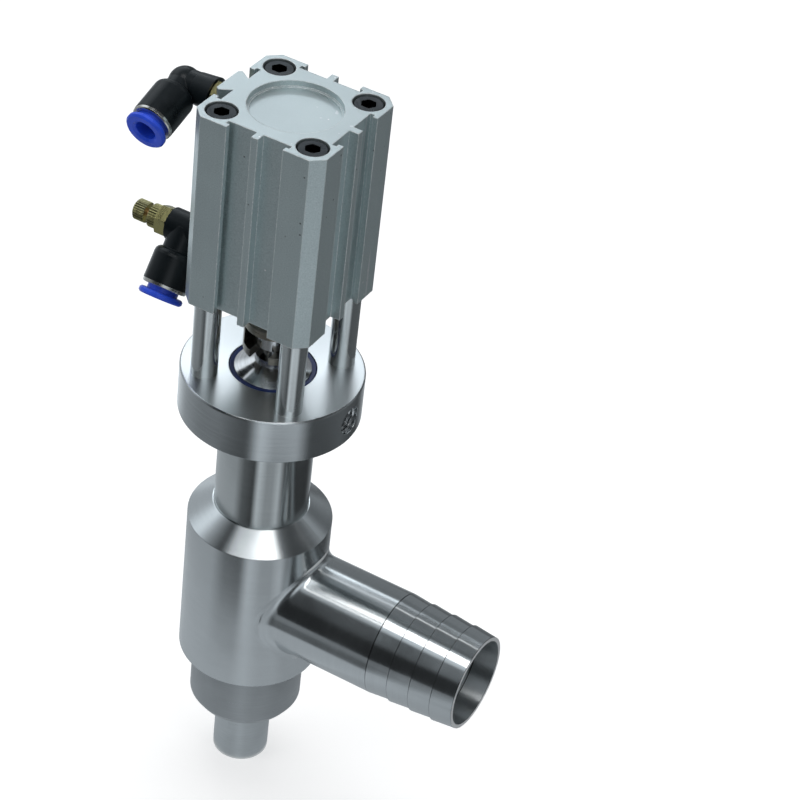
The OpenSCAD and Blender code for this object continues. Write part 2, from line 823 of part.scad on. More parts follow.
// What is cut out of a fitting's body for the tube and the parts that grip it
module socket_cut(mouth) {
    translate([0, 0, mouth - socket_depth]) cylinder(r = socket_r, h = socket_depth + 1);
    translate([0, 0, mouth - socket_depth - pilot_len]) cylinder(r = tube_bore_r, h = pilot_len + 1);
    cylinder(r = air_way_r, h = mouth - 1);
}

module socket_ring(mouth, d) color(polished) translate([0, 0, mouth]) {
    inner = 2 * collar_neck_r + 0.3;
    edge = 0.3;
    difference() {
        union() {
            cylinder(d = d - 0.2, h = socket_ring_t - edge);
            translate([0, 0, socket_ring_t - edge])
                cylinder(d1 = d - 0.2, d2 = d - 0.2 - 2 * edge, h = edge);
            translate([0, 0, -skirt_len]) cylinder(r = socket_r - seat_gap, h = skirt_len + cut);
        }
        translate([0, 0, -skirt_len - 1]) cylinder(d = inner, h = skirt_len + 4);
    }
}

module grip_ring(mouth) color(steel)
    translate([0, 0, mouth - skirt_len - ring_gap - grip_t]) difference() {
        ring(2 * socket_r - 2 * seat_gap, 2 * tube_bore_r + 0.2, grip_t);
        for (a = [0 : 45 : 315]) rotate([0, 0, a])
            translate([0, -0.25, -1]) cube([tube_bore_r + 1, 0.5, 3]);
    }

module tube_seal(mouth) color(rubber)
    translate([0, 0, mouth - socket_depth + ring_gap])
        ring(2 * socket_r - 2 * seat_gap, 2 * tube_bore_r + 0.1, tube_seal_len);

module release_collar(mouth, d) color(blue_plastic) {
    collar_flange_r = d / 2 - 0.05;
    back = mouth + socket_ring_t + collar_gap;
    face = back + collar_flange_t;
    edge = 0.5;
    inner_end = mouth - skirt_len + collar_travel + 0.2;
    difference() {
        turned([
            [0, inner_end],
            [collar_neck_r - 0.4, inner_end],
            [collar_neck_r, inner_end + 0.8],
            [collar_neck_r, back],
            [collar_flange_r - edge, back],
            [collar_flange_r, back + edge],
            [collar_flange_r, face - edge],
            [collar_flange_r - edge, face],
            [0, face]
        ]);
        translate([0, 0, inner_end - 1]) cylinder(r = tube_bore_r, h = face);
        translate([0, 0, face - 0.6]) cylinder(r1 = tube_bore_r, r2 = tube_bore_r + 0.8, h = 0.62);
    }
}

module upper_port_stem() color(brass) on_port(port_upper_z) difference() {
    union() {
        translate([0, 0, -port_thread_len + 0.5]) cylinder(d = port_d, h = port_thread_len + hex_z);
        translate([0, 0, hex_z]) hex_nut(hex_af, upper_hex_t);
        translate([0, 0, hex_z]) cylinder(r = spigot_r, h = spigot_end - spigot_head_t + cut - hex_z);
        translate([0, 0, spigot_end - spigot_head_t]) cylinder(r = spigot_head_r, h = spigot_head_t);
    }
    translate([0, 0, -port_thread_len]) cylinder(r = 1.25, h = 20);
    translate([0, 0, 8]) ring(2 * spigot_r + 1, 2 * spigot_r - 1.4, 1);
}

module upper_port_gasket() on_port(port_upper_z) port_gasket();

module upper_swivel_oring() color(rubber) on_port(port_upper_z)
    translate([0, 0, 8.5]) oring(spigot_r - 0.7, 0.7);

module upper_elbow() color(black_plastic) on_port(port_upper_z) difference() {
    start = hex_z + upper_hex_t + ring_gap;
    union() {
        translate([0, 0, start]) cylinder(r1 = stub_r, r2 = stub_end_r, h = stub_len);
        translate([0, 0, start]) cylinder(r = elbow_r, h = upper_centre - start);
        translate([0, 0, upper_centre]) sphere(r = elbow_ball_r);
        on_leg(upper_centre, upper_droop) {
            cylinder(r = elbow_r, h = upper_shoulder + 1);
            socket_shell(upper_socket_d, upper_shoulder, upper_mouth);
        }
    }
    translate([0, 0, start - 1])
        cylinder(r = spigot_r + slide_gap, h = spigot_end - spigot_head_t - ring_gap - start + 1);
    translate([0, 0, spigot_end - spigot_head_t - 0.15])
        cylinder(r = spigot_head_r + slide_gap, h = spigot_head_t + 0.4);
    translate([0, 0, start]) cylinder(r = air_way_r - 0.2, h = upper_centre - start + air_way_r - 0.3);
    on_leg(upper_centre, upper_droop) socket_cut(upper_mouth);
}

module upper_socket_ring() on_port(port_upper_z) on_leg(upper_centre, upper_droop)
    socket_ring(upper_mouth, upper_socket_d);

module upper_grip_ring() on_port(port_upper_z) on_leg(upper_centre, upper_droop) grip_ring(upper_mouth);

module upper_tube_seal() on_port(port_upper_z) on_leg(upper_centre, upper_droop) tube_seal(upper_mouth);

module upper_release_collar() on_port(port_upper_z)
    on_leg(upper_centre, upper_droop) release_collar(upper_mouth, upper_socket_d);

// Core of the speed controller: screwed into the port, the banjo turns on it
module lower_port_stem() color(brass) on_port(port_lower_z) difference() {
    top = banjo_z + banjo_len + ring_gap;
    union() {
        translate([0, 0, -port_thread_len + 0.5]) cylinder(d = port_d, h = port_thread_len + hex_z);
        translate([0, 0, hex_z]) hex_nut(hex_af, lower_hex_t);
        translate([0, 0, hex_z]) cylinder(r = core_r, h = top - hex_z);
    }
    translate([0, 0, -port_thread_len]) cylinder(r = 1.1, h = 20);
    translate([0, 0, 3.5]) cylinder(r = core_bore, h = top);
    translate([0, 0, lower_centre]) for (a = [0, 90])
        rotate([90, 0, a]) translate([0, 0, -6]) cylinder(r = 0.8, h = 12);
    for (z = banjo_grooves) translate([0, 0, z]) ring(2 * core_r + 1, 2 * core_r - 1, 0.8);
}
banjo_grooves = [banjo_z + 1.5, banjo_z + banjo_len - 2.3];

module lower_port_gasket() on_port(port_lower_z) port_gasket();

module lower_banjo_orings() color(rubber) on_port(port_lower_z)
    for (z = banjo_grooves) translate([0, 0, z + 0.4]) oring(core_r - 0.5, 0.5);

module lower_banjo() color(black_plastic) on_port(port_lower_z) difference() {
    union() {
        translate([0, 0, banjo_z]) cylinder(r = banjo_r, h = banjo_len);
        on_leg(lower_centre, lower_droop) {
            cylinder(r = lower_neck_r, h = lower_shoulder + 1);
            socket_shell(lower_socket_d, lower_shoulder, lower_mouth);
        }
    }
    translate([0, 0, banjo_z - 1]) cylinder(r = core_r + slide_gap, h = banjo_len + 2);
    translate([0, 0, lower_centre - 1.2]) cylinder(r = core_r + 0.6, h = 2.4);
    on_leg(lower_centre, lower_droop) socket_cut(lower_mouth);
}

module lower_socket_ring() on_port(port_lower_z) on_leg(lower_centre, lower_droop)
    socket_ring(lower_mouth, lower_socket_d);

module lower_grip_ring() on_port(port_lower_z) on_leg(lower_centre, lower_droop) grip_ring(lower_mouth);

module lower_tube_seal() on_port(port_lower_z) on_leg(lower_centre, lower_droop) tube_seal(lower_mouth);

module lower_release_collar() on_port(port_lower_z)
    on_leg(lower_centre, lower_droop) release_collar(lower_mouth, lower_socket_d);

module needle_bonnet() color(brass) on_port(port_lower_z) difference() {
    union() {
        translate([0, 0, bonnet_z]) hex_nut(hex_af, bonnet_t);
        translate([0, 0, bonnet_z - 3]) cylinder(r = core_bore - seat_gap, h = 3 + cut);
    }
    translate([0, 0, bonnet_z - 4]) cylinder(r = spindle_r + slide_gap, h = bonnet_t + 5);
}

module lock_ring() color(brass) on_port(port_lower_z) translate([0, 0, lock_z]) difference() {
    knurled(lock_ring_d, lock_t);
    translate([0, 0, -1]) cylinder(r = spindle_r + slide_gap, h = lock_t + 2);
}

module needle_spindle() color("#a8744a") on_port(port_lower_z) turned([
    [0, 4.2],
    [0.85, 4.2],
    [spindle_r, 6.7],
    [spindle_r, knob_z + knob_len - 1],
    [0, knob_z + knob_len - 1]
]);

module needle_knob() color(brass) on_port(port_lower_z) translate([0, 0, knob_z]) difference() {
    union() {
        knurled(knob_d, knob_len - 0.4);
        translate([0, 0, knob_len - 0.4 - cut])
            cylinder(d1 = knob_d - 2 * knurl_depth, d2 = knob_d - 2 * knurl_depth - 0.8, h = 0.4);
    }
    translate([0, 0, -1]) cylinder(r = spindle_r + slide_gap, h = knob_len + 0.1);
}

nozzle_tip();
tip_gasket();
tip_clamp_ring();
nozzle_sleeve();
sleeve_oring();
valve_body();
inlet_hose_tail();
inlet_weld();
neck_tube();
mounting_flange();
pillars();
cylinder_barrel();
barrel_screws();
rear_cap();
rear_cap_oring();
rod_gland();
gland_oring();
gland_circlip();
rod_bush();
rod_seal();
valve_stem();
guide_wiper();
guide_orings();
stem_plug();
plug_oring();
stem_coupling();
piston_rod();
piston();
piston_seal();
piston_magnet();
piston_bumpers();
piston_nut();
upper_port_stem();
upper_port_gasket();
upper_swivel_oring();
upper_elbow();
upper_socket_ring();
upper_grip_ring();
upper_tube_seal();
upper_release_collar();
lower_port_stem();
lower_port_gasket();
lower_banjo_orings();
lower_banjo();
lower_socket_ring();
lower_grip_ring();
lower_tube_seal();
lower_release_collar();
needle_bonnet();
lock_ring();
needle_spindle();
needle_knob();
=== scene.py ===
# %% [markdown]
# # A pneumatic filling valve, dressed in Blender
# The CAD model already holds every part of the valve at its true size, in one frame.
# This notebook adds what CAD leaves out: the studio, the camera of the product photograph,
# the finishes of steel, aluminium, brass and plastic, and the small shapes that only show
# close up, such as a thread and the dressed weld. Sizes are in metres.

# %% Imports and frame
import math

import bmesh
import bpy
from mathutils import Matrix, Vector


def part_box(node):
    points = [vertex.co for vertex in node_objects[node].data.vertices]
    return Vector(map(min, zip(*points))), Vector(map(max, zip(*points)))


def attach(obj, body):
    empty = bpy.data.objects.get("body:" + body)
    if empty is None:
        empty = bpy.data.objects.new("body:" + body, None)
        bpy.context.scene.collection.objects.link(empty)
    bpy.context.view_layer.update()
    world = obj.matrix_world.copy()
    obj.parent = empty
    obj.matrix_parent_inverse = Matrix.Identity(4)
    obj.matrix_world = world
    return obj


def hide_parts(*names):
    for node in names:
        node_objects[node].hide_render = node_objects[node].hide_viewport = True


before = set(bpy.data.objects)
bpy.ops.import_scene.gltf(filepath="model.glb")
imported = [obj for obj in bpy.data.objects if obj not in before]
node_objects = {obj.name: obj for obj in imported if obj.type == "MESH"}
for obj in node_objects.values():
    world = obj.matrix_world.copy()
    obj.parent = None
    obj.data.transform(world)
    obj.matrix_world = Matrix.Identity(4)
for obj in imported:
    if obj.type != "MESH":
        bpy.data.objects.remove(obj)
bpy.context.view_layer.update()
MM = 0.001

# %% [markdown]
# ## Camera
# The photograph looks down on the valve from the front right, with the camera rolled a little.
# The camera could be aimed with a tracking constraint, but a matrix built from the three axes
# that were fitted to the photograph keeps the roll exactly.

# %% Camera
FOCAL_PX = 2662.21
FRAME_PX = 800
SENSOR_MM = 36.0
camera_place = Vector((0.29471, -0.51967, 0.60216))
camera_back = Vector((0.3476, -0.7114, 0.6108)).normalized()
camera_right = Vector((0.8580, 0.5042, 0.0990)).normalized()
camera_up = camera_back.cross(camera_right).normalized()
camera_right = camera_up.cross(camera_back).normalized()

camera_data = bpy.data.cameras.new("photo_camera")
camera_data.sensor_width = SENSOR_MM
camera_data.lens = FOCAL_PX * SENSOR_MM / FRAME_PX
camera_data.clip_start = 0.01
camera_data.clip_end = 50.0
camera = bpy.data.objects.new("photo_camera", camera_data)
axes = Matrix((camera_right, camera_up, camera_back)).transposed().to_4x4()
camera.matrix_world = Matrix.Translation(camera_place) @ axes
bpy.context.scene.collection.objects.link(camera)
bpy.context.scene.camera = camera
print("lens:", round(camera_data.lens, 2), "mm")

# %% [markdown]
# ## A helper for shader nodes
# Every surface below is a small tree of shader nodes. Each node could be added and linked line by
# line, but then a finish would fill pages. The helper adds a node, sets its inputs from plain
# values or from the outputs of other nodes, and gives it back.


# %% Node helper
class Graph:
    """A small helper that adds shader nodes and joins them."""

    def __init__(self, tree):
        self.tree = tree
        tree.nodes.clear()

    def add(self, kind, inputs=(), **settings):
        made = self.tree.nodes.new("ShaderNode" + kind)
        for key, value in settings.items():
            setattr(made, key, value)
        for key, value in dict(inputs).items():
            self.put(made.inputs[key], value)
        return made

    def put(self, socket, value):
        if isinstance(value, bpy.types.NodeSocket):
            self.tree.links.new(value, socket)
        else:
            socket.default_value = value

    def math(self, operation, a, b=0.0, clamp=False):
        return self.add("Math", {0: a, 1: b}, operation=operation, use_clamp=clamp).outputs[0]

    def remap(self, value, low, high, to_low=0.0, to_high=1.0):
        made = self.add("MapRange", {"Value": value, "From Min": low, "From Max": high,
                                     "To Min": to_low, "To Max": to_high})
        return made.outputs["Result"]

    def blend(self, factor, a, b):
        made = self.add("Mix", data_type="RGBA")
        self.put(made.inputs[0], factor)
        self.put(made.inputs[6], a)
        self.put(made.inputs[7], b)
        return made.outputs[2]

    def facing(self, axis):
        """How much a face looks along an axis, from -1 to 1."""
        normal = self.add("TexCoord").outputs["Normal"]
        return self.add("SeparateXYZ", {0: normal}).outputs[axis]

    def shown(self):
        """1 where a camera, a reflection or a view through glass meets the surface."""
        path = self.add("LightPath")
        seen = self.math("MAXIMUM", path.outputs["Is Camera Ray"], path.outputs["Is Glossy Ray"])
        return self.math("MAXIMUM", seen, path.outputs["Is Transmission Ray"])


def rgb(red, green, blue):
    return (red, green, blue, 1.0)


def new_object(name, mesh):
    made = bpy.data.objects.new(name, mesh)
    bpy.context.scene.collection.objects.link(made)
    return made


print("node helper ready")

# %% [markdown]
# ## Studio
# The valve stands on a pale floor under a pale sky, as in the photograph. More light could make
# both look white, but it would bleach the valve too. So they are brighter where the camera or a
# reflection sees them than in the light that they give.

# %% World
SKY_LIGHT = 0.42
SKY_SEEN = 1.0
world = bpy.data.worlds.new("pale_studio")
bpy.context.scene.world = world
world.use_nodes = True
graph = Graph(world.node_tree)
lit = graph.add("Background", {"Color": rgb(0.93, 0.97, 1.0), "Strength": SKY_LIGHT})
backdrop = graph.add("Background", {"Color": rgb(1.0, 1.0, 1.0), "Strength": SKY_SEEN})
mixed = graph.add("MixShader", {0: graph.shown(), 1: lit.outputs[0], 2: backdrop.outputs[0]})
graph.add("OutputWorld", {"Surface": mixed.outputs[0]})
print("sky:", SKY_LIGHT, "as light and", SKY_SEEN, "as seen")

# %% Floor
FLOOR_R = 6.0
FLOOR_Z = -0.0004
FLOOR_SIDES = 96
FLOOR_PAINT = 0.62
FLOOR_GLOW = 0.56
floor_mesh = bpy.data.meshes.new("floor")
rim_turns = [2 * math.pi * i / FLOOR_SIDES for i in range(FLOOR_SIDES)]
rim = [(FLOOR_R * math.cos(turn), FLOOR_R * math.sin(turn), FLOOR_Z) for turn in rim_turns]
floor_mesh.from_pydata(rim, [], [list(range(FLOOR_SIDES))])
floor = new_object("floor", floor_mesh)
floor_look = bpy.data.materials.new("pale_floor")
floor_look.use_nodes = True
graph = Graph(floor_look.node_tree)
paint = graph.add("BsdfDiffuse", {"Color": rgb(FLOOR_PAINT, FLOOR_PAINT, FLOOR_PAINT)})
strength = graph.math("MULTIPLY", graph.shown(), FLOOR_GLOW)
glow = graph.add("Emission", {"Color": rgb(1.0, 1.0, 1.0), "Strength": strength})
both = graph.add("AddShader", {0: paint.outputs[0], 1: glow.outputs[0]})
graph.add("OutputMaterial", {"Surface": both.outputs[0]})
floor_mesh.materials.append(floor_look)
print("floor radius:", FLOOR_R)

# %% [markdown]
# Polished metal shows its surroundings more than its own colour. A product photographer sets grey
# cards round a polished piece, so that it gets dark streaks between the bright ones. Two cards do
# that here. One lies on the floor round the valve, and one stands over it as a dome, with a bright
# panel at the height that the flange's top mirrors. An image of a studio could give the same
# streaks, but it would be one more file and would light the plastic too. Only reflections see the
# cards, so they light nothing and throw no shadow.

# %% Brightness of the cards
# Stops are azimuth in degrees from +X, and brightness. The floor has one list for each ring of
# distance from the valve, and the dome one for each band of height.
FLOOR_NEAR = [(-180, 0.50), (-84, 0.48), (-64, 0.55), (-44, 0.47), (0, 0.42), (90, 0.40),
              (136, 0.62), (180, 0.50)]
FLOOR_MIDDLE = [(-180, 0.43), (-126, 0.40), (-106, 0.12), (-82, 0.05), (-70, 0.60), (-52, 0.34),
                (-38, 0.34), (-24, 0.58), (-10, 0.04), (62, 0.04), (84, 0.20), (104, 0.52), (180, 0.43)]
FLOOR_RIM = [(-180, 0.36), (-150, 0.22), (-108, 0.12), (-80, 0.08), (-68, 0.75), (-52, 0.28), (-24, 0.36),
             (-10, 0.05), (36, 0.14), (72, 0.05), (96, 0.45), (136, 0.95), (180, 0.36)]
FLOOR_FAR = [(-180, 0.42), (-150, 0.30), (-116, 0.30), (-84, 0.10), (-66, 0.75), (-46, 0.66), (-26, 0.66),
             (-8, 0.12), (30, 0.12), (100, 0.14), (124, 0.50), (154, 0.95), (180, 0.42)]
FLOOR_EDGE = [(-180, 0.40), (-150, 0.20), (-130, 0.02), (-84, 0.02), (-66, 0.10), (-46, 0.50), (-26, 0.50),
              (-8, 0.10), (100, 0.10), (124, 0.50), (154, 0.95), (180, 0.40)]
DOME_LOW = [(-180, 0.45), (-150, 0.30), (-128, 0.02), (-84, 0.02), (-72, 0.10), (-46, 0.05), (-6, 0.10),
            (8, 0.45), (40, 0.30), (58, 0.06), (90, 0.28), (110, 0.20), (140, 0.50), (180, 0.45)]
DOME_FRONT = [(-180, 1.20), (-168, 1.10), (-156, 0.40), (-130, 0.04), (-84, 0.04), (-70, 0.90),
              (-36, 0.90), (-16, 0.16), (8, 0.06), (42, 0.08), (54, 0.45), (84, 0.45), (96, 0.12)]
DOME_MIDDLE = DOME_FRONT + [(113, 0.20), (119, 0.85), (136, 0.95), (150, 1.20), (180, 1.20)]
DOME_PANEL = DOME_FRONT + [(104, 0.60), (112, 3.20), (130, 3.20), (140, 1.00), (150, 1.20), (180, 1.20)]
DOME_TOP = [(-180, 0.12), (-134, 0.10), (-124, 0.80), (-98, 0.80), (-60, 0.60), (-30, 0.60), (-8, 0.40),
            (10, 0.06), (90, 0.06), (128, 0.40), (160, 0.12), (180, 0.12)]
CARD_TINT = (0.93, 1.0, 1.06)
print("panel:", max(level for azimuth, level in DOME_PANEL), "at its brightest")


# %% Card helpers
CARD_SIDES = 128


def card_look(name, bands, by_height):
    """An emission that changes with the azimuth, and from band to band.

    Each band after the first begins with the two distances, or heights, between which it fades in.
    """
    look = bpy.data.materials.new(name)
    look.use_nodes = True
    graph = Graph(look.node_tree)
    place = graph.add("TexCoord").outputs["Object"]
    turn = graph.add("TexGradient", {"Vector": place}, gradient_type="RADIAL").outputs["Fac"]
    if by_height:
        measure = graph.add("SeparateXYZ", {0: place}).outputs["Z"]
    else:
        measure = graph.add("VectorMath", {0: place}, operation="LENGTH").outputs["Value"]
    shade = None
    for low, high, stops in bands:
        ramp = graph.add("ValToRGB", {"Fac": turn})
        elements = ramp.color_ramp.elements
        while len(elements) < len(stops):
            elements.new(0.5)
        for element, (azimuth, level) in zip(elements, stops):
            element.position = (azimuth + 180.0) / 360.0
            element.color = rgb(*(level * part for part in CARD_TINT))
        if shade is None:
            shade = ramp.outputs["Color"]
        else:
            shade = graph.blend(graph.remap(measure, low, high), shade, ramp.outputs["Color"])
    glow = graph.add("Emission", {"Color": shade, "Strength": 1.0})
    graph.add("OutputMaterial", {"Surface": glow.outputs[0]})
    return look


def reflections_only(card):
    """Only reflections see the card."""
    card.visible_camera = False
    card.visible_diffuse = False
    card.visible_shadow = False
    card.visible_transmission = False
    card.visible_volume_scatter = False


def turned_card(name, outline, look):
    """A card swept round the valve's axis from radius and height."""
    mesh = bpy.data.meshes.new(name)
    count, rows = CARD_SIDES, len(outline)
    points, faces = [], []
    for i in range(count):
        a = 2 * math.pi * i / count
        for radius, height in outline:
            points.append((radius * math.cos(a), radius * math.sin(a), height))
    for i in range(count):
        j = (i + 1) % count
        for k in range(rows - 1):
            faces.append((i * rows + k, i * rows + k + 1, j * rows + k + 1, j * rows + k))
    mesh.from_pydata(points, [], faces)
    mesh.materials.append(look)
    reflections_only(new_object(name, mesh))


print("card helpers ready")

# %% Reflection cards
DOME_R = 0.9
CARD_Z = 0.0002
TIP_CLEAR_R = 0.0090
DOME_TOP_R = 0.0005
floor_bands = [(0, 0, FLOOR_NEAR), (0.095, 0.110, FLOOR_MIDDLE), (0.165, 0.180, FLOOR_RIM),
               (0.200, 0.225, FLOOR_FAR), (0.500, 0.600, FLOOR_EDGE)]
dome_bands = [(0, 0, DOME_LOW), (0.40, 0.52, DOME_MIDDLE), (0.575, 0.600, DOME_PANEL),
              (0.632, 0.645, DOME_MIDDLE), (0.76, 0.80, DOME_TOP)]
dome_rises = [math.radians(a) for a in range(0, 90, 5)]
dome_line = [(DOME_R * math.cos(rise), DOME_R * math.sin(rise)) for rise in dome_rises]
turned_card("floor_card", [(TIP_CLEAR_R, CARD_Z), (DOME_R, CARD_Z)],
            card_look("floor_card_look", floor_bands, False))
turned_card("dome_card", dome_line + [(DOME_TOP_R, DOME_R)],
            card_look("dome_card_look", dome_bands, True))
print("cards:", len(floor_bands), "rings and", len(dome_bands), "bands")

# %% [markdown]
# Two long tubes of light hang in front, parallel to the hose tail, and a weak one hangs behind.
# They give the pipe the double bright line of the photograph. Area lamps could do this, but a
# lamp lights the plastic too, while a card that only reflections see leaves it alone.


# %% Strip lights
STRIP_LEFT, STRIP_RIGHT = -0.20, 0.62


def strip_card(name, near_y, far_y, height, level):
    """A long bright card over the valve, parallel to the hose tail."""
    mesh = bpy.data.meshes.new(name)
    corners = [(STRIP_LEFT, near_y, height), (STRIP_RIGHT, near_y, height),
               (STRIP_RIGHT, far_y, height), (STRIP_LEFT, far_y, height)]
    mesh.from_pydata(corners, [], [(0, 1, 2, 3)])
    look = bpy.data.materials.new(name + "_look")
    look.use_nodes = True
    graph = Graph(look.node_tree)
    glow = graph.add("Emission", {"Color": rgb(1.0, 1.0, 1.0), "Strength": level})
    graph.add("OutputMaterial", {"Surface": glow.outputs[0]})
    mesh.materials.append(look)
    reflections_only(new_object(name, mesh))


strip_card("front_tube", -0.296, -0.240, 0.78, 3.4)
strip_card("back_tube", -0.215, -0.085, 0.78, 3.8)
strip_card("rear_tube", 0.345, 0.385, 0.70, 1.2)
print("strip lights: 3")

# %% [markdown]
# Three soft boxes light the plastic, the floor and the shadow. The steel doesn't see them,
# because its reflections come from the cards alone. A sun would be simpler, but its shadow is hard.


# %% Lamps
AIM = (0.0, 0.0, 0.12)


def soft_box(name, place, size, watts):
    """A square area lamp that looks at the middle of the valve."""
    data = bpy.data.lights.new(name, "AREA")
    data.shape = "SQUARE"
    data.size = size
    data.energy = watts
    lamp = bpy.data.objects.new(name, data)
    lamp.location = place
    lamp.rotation_euler = (Vector(place) - Vector(AIM)).to_track_quat("Z", "Y").to_euler()
    lamp.visible_glossy = False
    bpy.context.scene.collection.objects.link(lamp)


soft_box("top_box", (-0.15, 0.25, 1.15), 0.9, 6.0)
soft_box("left_box", (-0.75, -0.75, 0.75), 0.6, 2.6)
soft_box("right_box", (0.95, -0.15, 0.55), 0.5, 1.2)
print("lamps: 3")

# %% [markdown]
# ## Finishes
# Turned steel carries fine rings round its axis, and drawn or extruded metal carries lines along
# its length. Both could be images, but a noise that is stretched along the tool's path needs no
# file and no unwrapping. The rings come from a noise that reads radius and height, and the angle
# only a little, so that a ring changes slowly on its way round.


# %% Finish helpers
def edge_mask(graph, radius):
    """1 near edges and 0 on open faces, from how much a rounded normal leans."""
    soft = graph.add("Bevel", {"Radius": radius}, samples=4).outputs[0]
    plain = graph.add("NewGeometry").outputs["Normal"]
    lean = graph.add("VectorMath", {0: soft, 1: plain}, operation="DOT_PRODUCT").outputs["Value"]
    return graph.remap(lean, 0.995, 0.80), soft


def axis_place(graph, axis, centre):
    """Radius from the axis, angle and height along it, as a vector for a noise."""
    place = graph.add("TexCoord").outputs["Object"]
    moved = graph.add("VectorMath", {0: place, 1: centre}, operation="SUBTRACT").outputs[0]
    parts = graph.add("SeparateXYZ", {0: moved})
    order = {"X": ("Y", "Z", "X"), "Z": ("X", "Y", "Z")}[axis]
    a, b, along = (parts.outputs[k] for k in order)
    flat = graph.add("CombineXYZ", {0: a, 1: b, 2: 0.0}).outputs[0]
    radius = graph.add("VectorMath", {0: flat}, operation="LENGTH").outputs["Value"]
    angle = graph.math("ARCTAN2", a, b)
    return radius, angle, along


def noise(graph, vector, scale, detail=3.0):
    made = graph.add("TexNoise", {"Vector": vector, "Scale": scale, "Detail": detail, "Roughness": 0.6})
    return made.outputs["Fac"]


def shaded(colour, factor):
    """The colour, lighter or darker."""
    return rgb(*(min(1.0, part * factor) for part in colour))


def square_ends(graph, axis):
    """1 on faces square to the axis that look along it."""
    return graph.remap(graph.facing(axis), 0.90, 0.97)


print("finish helpers ready")

# %% [markdown]
# One function makes all the turned metal, because the pieces differ only in colour, roughness and
# the size of their rings. The blur of a turned surface is longer along the axis than round it, and
# the anisotropic shader gives that. The pipe also gets painted shade, dark lines in the corners where
# its barbs meet that are darker on the upper side, a brighter cut end and a rough bore. The flange gets
# a duller face on top, where the tool went across it, and a lighter colour there that is painted light.


# %% Turned metal
# Painted shade: the colour of the dark lines where the barbs meet.
SEAM_PAINTED_SHADE = rgb(0.03, 0.03, 0.03)
CUT_END = rgb(0.80, 0.82, 0.83)
# Painted light: the lighter colour of faces that look up the axis.
TOP_FACE_PAINTED_LIGHT = rgb(0.74, 0.77, 0.78)
CLOUD_TONE = rgb(0.32, 0.33, 0.34)
# Lighter edges: wear, and a painted highlight.
EDGE_WEAR_AND_HIGHLIGHT_TONE = rgb(0.86, 0.88, 0.90)
RING_DRIFT = 0.0004
COARSE_RINGS = 0.22
POLISH_CLOUDS = 55.0
GROOVE_HEIGHT = 0.02 * MM


